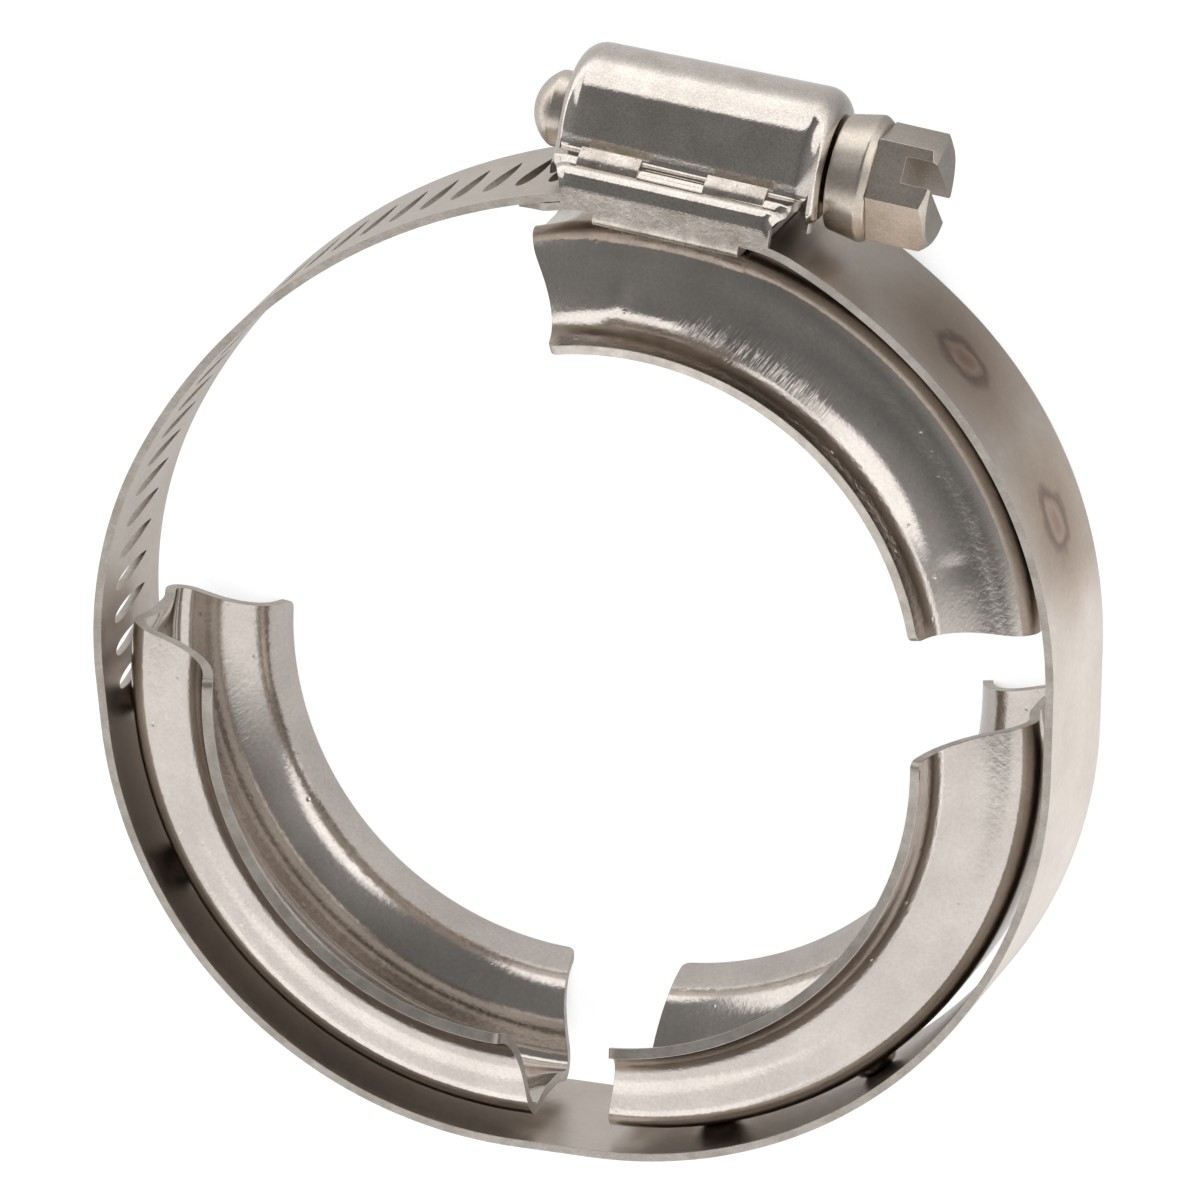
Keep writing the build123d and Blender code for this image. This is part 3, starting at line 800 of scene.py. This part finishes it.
def dome_path():
    """Place, arch radius and facing angle along the dome: wall, quarter, barrel, quarter, wall.
    The angle is 0 where the sheet faces along the screw and 90 where it faces sideways."""
    r = end_round - skin
    turn = np.array([0, 10, 20, 30, 40, flange_corner - 0.5, flange_corner, 60, 70, 80, 90.0])
    rise, run = r * np.sin(np.radians(turn)), r * (1 - np.cos(np.radians(turn)))
    left_radius, right_radius = dome_left - skin - r, dome_right - skin - r
    walls = np.linspace(notch_radius, left_radius, 7)[:-1]
    far_walls = np.linspace(right_radius, notch_radius, 7)[1:]
    barrel = np.linspace(0, 1, 60)[1:-1]
    x0, x1 = housing_left + skin, housing_right - skin
    x = np.concatenate([x0 + 0 * walls, x0 + run, x0 + r + (x1 - x0 - 2 * r) * barrel,
                        x1 - run[::-1], x1 + 0 * far_walls])
    radius = np.concatenate([walls, left_radius + rise,
                             left_radius + r + (right_radius - left_radius) * barrel,
                             right_radius + rise[::-1], far_walls])
    facing = np.concatenate([0 * walls, turn, 90 + 0 * barrel, turn[::-1], 0 * far_walls])
    return x, radius, facing


print("arches along the dome:", len(dome_path()[0]))

# %% [markdown]
# ## Below the arches
# Along the sides the sheet goes on as the flange, with its bead, shallow ridges between the tabs
# and slanted ends that curl down. Round the ends it is a low rim that flares at the corners.

# %% Rim and flange


def rim_part(x, radius, facing, sign):
    """The end's rim, from its edge to the arch: a quarter round, then a straight run.
    It flares by flare x (1 - cos turn), most at the corner."""
    k = np.linspace(0, 1, len(flange_line))[None, :]
    turn = (pi / 2) * np.clip(1 - k / rim_share, 0, 1)
    low = skirt_y + rim_above_skirt
    straight = np.clip((k - rim_share) / (1 - rim_share), 0, 1)
    y = low + (1 - np.sin(turn)) + (flange_line[0, 0] - low - 1) * straight
    corner = smooth_step(facing, 0, flange_corner) * smooth_step(radius, *rim_corner)
    flare = wall_flare + (rim_flare - wall_flare) * corner
    out = flare * (1 - np.cos(turn))
    angle = np.radians(facing)
    return x + sign * np.cos(angle) * out, y + 0 * x, radius + np.sin(angle) * out


def flange_part(x, radius, sign):
    """The flange, from its lip to the arch. Towards each end its points slide to the slanted cut,
    and it falls by the curl x (0 to 1 along the end)^2 x (0 to 1 towards the lip)."""
    y, z = flange_line[::-1].T
    share = ((z - wall_reference) / (lip_out - wall_reference))[None, :]
    ridges = ridge_height * np.cos(2 * pi * (z - ridge_crest) / ridge_step)
    ridges = ridges * (z > ridge_band[0]) * (z < ridge_band[1])
    y = y + ridges * smooth_step(x, *ridge_start) * (1 - smooth_step(x, *ridge_end))
    at_end = smooth_step(-x, *curl_left) + smooth_step(x, *curl_right)
    y = y - end_curl * at_end ** 2 * smooth_step(z, *curl_out)
    mark = (shoulder - wall_reference) / (lip_out - wall_reference)
    out = np.zeros_like(x) + 0 * share
    for side, lip_x, shoulder_x in zip((-1, 1), lip_ends, shoulder_ends):
        here = sign[:, 0] == side
        start = side * (abs(lip_x) - slide_length)
        end = x[here].max() if side > 0 else x[here].min()
        toward = np.clip((x[here] - start) / (end - start), 0, 1)
        lip, top = [np.where(toward > 0, start + (end_x - start) * toward, x[here])
                    for end_x in (lip_x, shoulder_x)]
        inner = x[here] + (top - x[here]) * smooth_step(share, 0.0, mark)
        outer = top + (lip - top) * np.clip((share - mark) / (1 - mark), 0, 1)
        out[here] = np.where(share < mark, inner, outer)
    across = radius + share * (lip_out - radius)
    return out, y + 0 * across, across


# %% [markdown]
# ## The housing as one sheet
# Every column is a low part, its arch and the low part mirrored. Where flange changes to rim the
# faces below the arches are left out, which is the slit between the two.

# %% Housing surface
x, radius, facing = [v[:, None] for v in dome_path()]
sign = np.where(x < (housing_left + housing_right) / 2, -1.0, 1.0)
in_flange = facing >= flange_corner
low_x, low_y, low_z = [np.where(in_flange, a, b) for a, b in
                       zip(flange_part(x, radius, sign), rim_part(x, radius, facing, sign))]
turn = np.radians(np.linspace(0, 180, 61))[None, :]
across_x = np.concatenate([low_x, x + 0 * turn, low_x[:, ::-1]], 1)
across_y = np.concatenate([low_y, worm_y + radius * np.sin(turn), low_y[:, ::-1]], 1)
across_z = np.concatenate([low_z, radius * np.cos(turn), -low_z[:, ::-1]], 1)
cols = across_x.shape[1]
slit = in_flange[1:, 0] != in_flange[:-1, 0]
below = np.arange(cols - 1)
below = (below < len(flange_line) - 1) | (below >= cols - len(flange_line))
shell = grid(np.stack([across_x, across_y, across_z], -1), keep=~(slit[:, None] & below))
housing = build("housing_shell", [shell], [housing_steel, edge_steel])
add_wall(housing, housing_sheet, 0.12)
settle(housing, "clamp", "housing")

# %% [markdown]
# ## Worm screw
# The screw is turned from one bar: a domed pilot end, the worm, a neck, a flared collar and a
# hexagon with a sawn slot. Pilot and collar are profiles swung round the axis, as a lathe does.

# %% Turned lengths


def swung(x, r, turn):
    """Points at places along the worm's axis, at radii and turns round it."""
    return np.stack([x + 0 * turn, worm_y + r * np.cos(turn), r * np.sin(turn)], -1)


def turned(name, profile, steps=96):
    """A profile of places along the axis and radii, swung round it."""
    x, r = np.array(profile, float).T[:, :, None]
    turn = np.linspace(0, 2 * pi, steps, endpoint=False)
    return build(name, [grid(swung(x, r, turn), around=True)], [screw_steel])


thread_start, thread_end = -7.3, 11.0
neck_radius = 2.6
neck_end, collar_end = 12.3, 15.5
collar_radius, collar_crest, collar_crest_x, collar_face_radius = 4.35, 4.85, 14.9, 4.4
pilot_radius = 2.9
pilot_tip, pilot_face, pilot_dome = -11.3, -8.6, 1.7
dome_of_tip = (pilot_radius ** 2 + pilot_dome ** 2) / (2 * pilot_dome)
cap_angle = np.radians(np.linspace(0, degrees(asin(pilot_radius / dome_of_tip)), 14))
cap = np.stack([pilot_tip + dome_of_tip * (1 - np.cos(cap_angle)), dome_of_tip * np.sin(cap_angle)], 1)
pilot = turned("screw_pilot", [*cap, (pilot_face, pilot_radius), (pilot_face, neck_radius),
                               (thread_start, neck_radius), (thread_start, 0)])
collar = turned("screw_collar", [(thread_end, 0), (thread_end, neck_radius), (neck_end, neck_radius),
                                 (neck_end, collar_radius), (collar_crest_x, collar_crest),
                                 (collar_end, collar_face_radius), (collar_end, 0)])
for piece in (pilot, collar):
    add_edges(piece, 0.18, 25)
    settle(piece, "screw", "worm_screw")

# %% [markdown]
# ## The worm
# The thread is one tooth that runs along a helix at the slots' pitch and fades in and out over a
# third of a turn. The surface carries the tooth's section round the axis and along it together.

# %% Worm
thread_depth = 1.05
root_radius = crest_radius - thread_depth
root_half, crest_half, overlap = 0.605, 0.325, slot_pitch / 2
fade_turns, thread_rows = 0.35, 340


def worm_surface():
    """The tooth's section at each turn: its place is pitch x turns, and it rises root to crest."""
    along = np.array([-overlap, -root_half, -crest_half, crest_half, root_half, overlap])
    height = np.array([0.0, 0.0, thread_depth, thread_depth, 0.0, 0.0])
    turns = np.linspace(0, (thread_end - thread_start) / slot_pitch - 1, thread_rows)[:, None]
    last = turns.max()
    fade = smooth_step(turns, 0.0, fade_turns) * (1 - smooth_step(turns, last - fade_turns, last))
    x = thread_start + slot_pitch / 2 + turns * slot_pitch + along
    phase = 2 * pi * (turns - (first_slot_x - thread_start - slot_pitch / 2) / slot_pitch)
    r = root_radius + height * fade
    return np.stack([x, worm_y - r * np.cos(phase), -r * np.sin(phase)], -1)


worm = build("screw_worm", [grid(worm_surface())], [screw_steel])
settle(worm, "screw", "worm_screw")

# %% [markdown]
# ## The hexagon and its slot
# The hexagon's radius is half the flats / cos(angle from the middle of the flat). The lathe's
# chamfer is a cone, which leaves the round line on each flat. The slot is sawn through afterwards,
# so a block is taken away.

# %% Hexagon with its slot
hex_start, hex_end = collar_end, 20.1
hex_half = 7.94 / 2
crown = 0.25
chamfer = radians(30.0)
slot_width, slot_depth, slot_through, slot_roll = 2.0, 2.3, 12.0, radians(54.0)


def hexagon_surface():
    """Rows from the collar to the crown. The chamfer's row lies at
    end - (radius - half the flats + crown) x tan(chamfer), where its cone leaves each flat."""
    turn = np.radians(np.arange(0, 360, 3))
    flat_angle = np.mod(turn + radians(30), radians(60)) - radians(30)
    full = hex_half / np.cos(flat_angle)
    bevel_x = hex_end - (full - hex_half + crown) * tan(chamfer)
    rows = [(hex_start + 0 * full, 0 * full), (hex_start + 0 * full, full), (bevel_x, full),
            (hex_end + 0 * full, hex_half - crown + 0 * full), (hex_end + 0 * full, 0 * full)]
    x, r = [np.stack(v) for v in zip(*rows)]
    return swung(x, r, turn)


head = build("screw_head", [grid(hexagon_surface(), around=True)], [screw_steel])
cutter_mesh = bpy.data.meshes.new("slot_cutter")
work = bmesh.new()
bmesh.ops.create_cube(work, size=1.0)
size = Matrix.Diagonal((2 * slot_depth * MM, slot_through * MM, slot_width * MM, 1))
place = Matrix.Translation((hex_end * MM, worm_y * MM, 0))
work.transform(place @ Matrix.Rotation(slot_roll, 4, "X") @ size)
work.to_mesh(cutter_mesh)
work.free()
cutter = into_scene("slot_cutter", cutter_mesh)
cut = head.modifiers.new("slot", "BOOLEAN")
cut.object = cutter
cut.operation = "DIFFERENCE"
cut.solver = "EXACT"
bpy.context.view_layer.update()
done = bpy.data.meshes.new_from_object(head.evaluated_get(bpy.context.evaluated_depsgraph_get()))
head.modifiers.clear()
head.data = done
bpy.data.objects.remove(cutter)
add_edges(head, 0.16, 22)
settle(head, "screw", "worm_screw")

# %% [markdown]
# ## The room in the steel's reflections
# Polished steel shows what stands round it, so the surround matters more than any lamp. The room
# is dark, and bright south of an edge, with a pale wall to the left and two pale boxes. East is +X
# and north is +Y. The camera sees plain white.

# %% World
dark_level, dark_centre, bright_level = 0.165, 0.05, 1.03
edge_north, edge_climb, edge_blur, blur_growth = -0.3, 0.42, 0.05, 0.2
box_level = 1.5
world = bpy.data.worlds.new("studio")
scene.world = world
world.use_nodes = True
tree = world.node_tree
tree.nodes.clear()


def close_to(vector, aim, low, high, peak):
    """A soft round patch by the cosine of the angle from its aim: peak above high, 0 below low."""
    settings = {"operation": "DOT_PRODUCT", 1: Vector(aim).normalized()}
    near = add(vector.id_data, "VectorMath", settings, {0: vector})
    return soft(near.outputs["Value"], low, high, 0.0, peak)


heading = add(tree, "TexCoord").outputs["Generated"]
east, north, _ = add(tree, "SeparateXYZ", None, {0: heading}).outputs
# The dark part pales away from its centre, and its edge climbs and softens to the east.
aside = calc("SUBTRACT", east, dark_centre)
to_east = calc("MAXIMUM", aside, 0.0)
dark = calc("MAXIMUM", calc("MULTIPLY", aside, 0.28), calc("MULTIPLY", aside, -0.16))
dark = calc("ADD", dark, dark_level)
edge = calc("MULTIPLY_ADD", to_east, edge_climb, edge_north)
blur = calc("MULTIPLY_ADD", to_east, blur_growth, edge_blur)
share = soft(calc("DIVIDE", calc("SUBTRACT", edge, north), blur), -1.0, 1.0, 0.0, 1.0)
room = calc("MULTIPLY_ADD", share, calc("SUBTRACT", bright_level, dark), dark)
left_wall = calc("MULTIPLY", soft(east, -0.64, -0.56, 1.35, 0.0), soft(north, 0.3, 0.45, 0.0, 1.0))
right_box = close_to(heading, (0.71, 0.64, 0.2), 0.89, 0.965, box_level)
back_box = close_to(heading, (-0.32, 0.94, 0.1), 0.93, 0.96, box_level)
strength = calc("MAXIMUM", calc("MAXIMUM", room, left_wall), calc("MAXIMUM", right_box, back_box))
strength = calc("MAXIMUM", strength, add(tree, "LightPath").outputs["Is Camera Ray"])
sky = add(tree, "Background", {"Color": (1, 1, 1, 1)}, {"Strength": strength})
add(tree, "OutputWorld", None, {"Surface": sky.outputs[0]})

# %% [markdown]
# ## Floor
# The object lies on white paper, which glows so that it stays white and keeps a painted shadow by
# ambient occlusion. In the steel's reflections it has a painted shadow at the upper right and painted
# light far away.

# %% Floor
floor_z = cad_low.z
paper, tree = new_material("white_paper_sweep")
ray = add(tree, "LightPath").outputs
spot = add(tree, "TexCoord").outputs["Object"]
away = add(tree, "VectorMath", {"operation": "LENGTH"}, {0: spot}).outputs["Value"]
px, py, _ = add(tree, "SeparateXYZ", None, {0: spot}).outputs
# Painted shadow: in reflections the paper is darker at the upper right of the object.
painted_shadow = calc("MULTIPLY", soft(px, 5 * MM, 22 * MM, 0.0, 0.62), soft(py, 18 * MM, 38 * MM, 0.0, 1.0))
painted_shadow = calc("MULTIPLY", painted_shadow, soft(away, 50 * MM, 62 * MM, 1.0, 0.4))
painted_shadow = calc("MULTIPLY", painted_shadow, soft(away, 90 * MM, 160 * MM, 1.0, 0.0))
# Painted light: in reflections the paper is brighter beside the band and far from the object.
beside = calc("MULTIPLY", soft(px, 26 * MM, 38 * MM, 0.0, 1.0), soft(py, 8 * MM, 24 * MM, 1.0, 0.0))
round_about = soft(away, 60 * MM, 92 * MM, 0.6, 1.45)
reflected = calc("MULTIPLY", calc("MAXIMUM", round_about, beside), calc("SUBTRACT", 1.0, painted_shadow))
# Painted shade: ambient occlusion dims the paper's glow under the parts and in the gaps between them.
open_sky = add(tree, "AmbientOcclusion", {"Distance": 12 * MM, "samples": 8}).outputs["AO"]
direct = calc("MULTIPLY", soft(open_sky, 0.02, 0.4, 0.22, 1.0), 0.95)
reflected = calc("MULTIPLY", soft(open_sky, 0.0, 0.3, 0.55, 1.0), reflected)
glow = calc("MULTIPLY_ADD", ray["Is Glossy Ray"], calc("SUBTRACT", reflected, direct), direct)
lamp = add(tree, "Emission", {"Color": (1, 1, 1, 1)}, {"Strength": glow})
dim = add(tree, "BsdfDiffuse", {"Color": (0.25, 0.25, 0.25, 1)})
lit = add(tree, "AddShader", None, {0: dim.outputs[0], 1: lamp.outputs[0]})
matt = add(tree, "BsdfDiffuse", {"Color": linear("#E9E7E4")})
seen = calc("MAXIMUM", ray["Is Camera Ray"], ray["Is Glossy Ray"])
mixed = add(tree, "MixShader", None, {0: seen, 1: matt.outputs[0], 2: lit.outputs[0]})
add(tree, "OutputMaterial", None, {"Surface": mixed.outputs[0]})
floor_mesh = bpy.data.meshes.new("floor")
reach = 2.0
corners = [(i * reach, j * reach, floor_z) for i, j in ((-1, -1), (1, -1), (1, 1), (-1, 1))]
floor_mesh.from_pydata(corners, [], [(0, 1, 2, 3)])
floor_mesh.materials.append(paper)
floor = into_scene("floor", floor_mesh)
print("floor at z, mm:", round(floor_z / MM, 2))

# %% [markdown]
# ## Soft box
# One weak soft box in front gives the light a direction. It is too weak to draw a line in the steel.

# %% Soft box
light = bpy.data.lights.new("front_softbox", "AREA")
light.shape = "RECTANGLE"
light.size, light.size_y, light.energy = 0.8, 0.5, 0.5
box = into_scene("front_softbox", light)
box.location = (-0.3, -1.0, 0.8)
box.rotation_mode = "QUATERNION"
box.rotation_quaternion = (-box.location).to_track_quat("-Z", "Y")
print("soft box of", light.energy, "W")

# %% [markdown]
# ## Camera
# The photograph was taken from far away with a long lens. The camera was worked out from points
# that the photograph and the solids share, so its distance, shift and focal length are numbers.

# %% Camera
camera_right = Vector((0.9501, 0.1371, -0.2802))
camera_up = Vector((-0.2211, 0.9296, -0.2948))
camera_back = Vector((0.2200, 0.3421, 0.9136))
distance = 1434.87
shift_right, shift_up = 0.2347, -4.5013
focal_pixels = 19198.0
frame_pixels = 1200
camera_data = bpy.data.cameras.new("camera")
camera_data.sensor_width = 36.0
camera_data.lens = camera_data.sensor_width * focal_pixels / frame_pixels
camera_data.clip_start = 0.05
camera_data.clip_end = 20.0
camera = into_scene("camera", camera_data)
place = (camera_back * distance - camera_right * shift_right - camera_up * shift_up) * MM
turned_axes = Matrix((camera_right, camera_up, camera_back)).transposed()
camera.matrix_world = Matrix.Translation(place) @ turned_axes.to_4x4()
scene.camera = camera
scene.view_settings.view_transform = "Standard"
print("camera at, mm:", [round(v / MM, 1) for v in place])
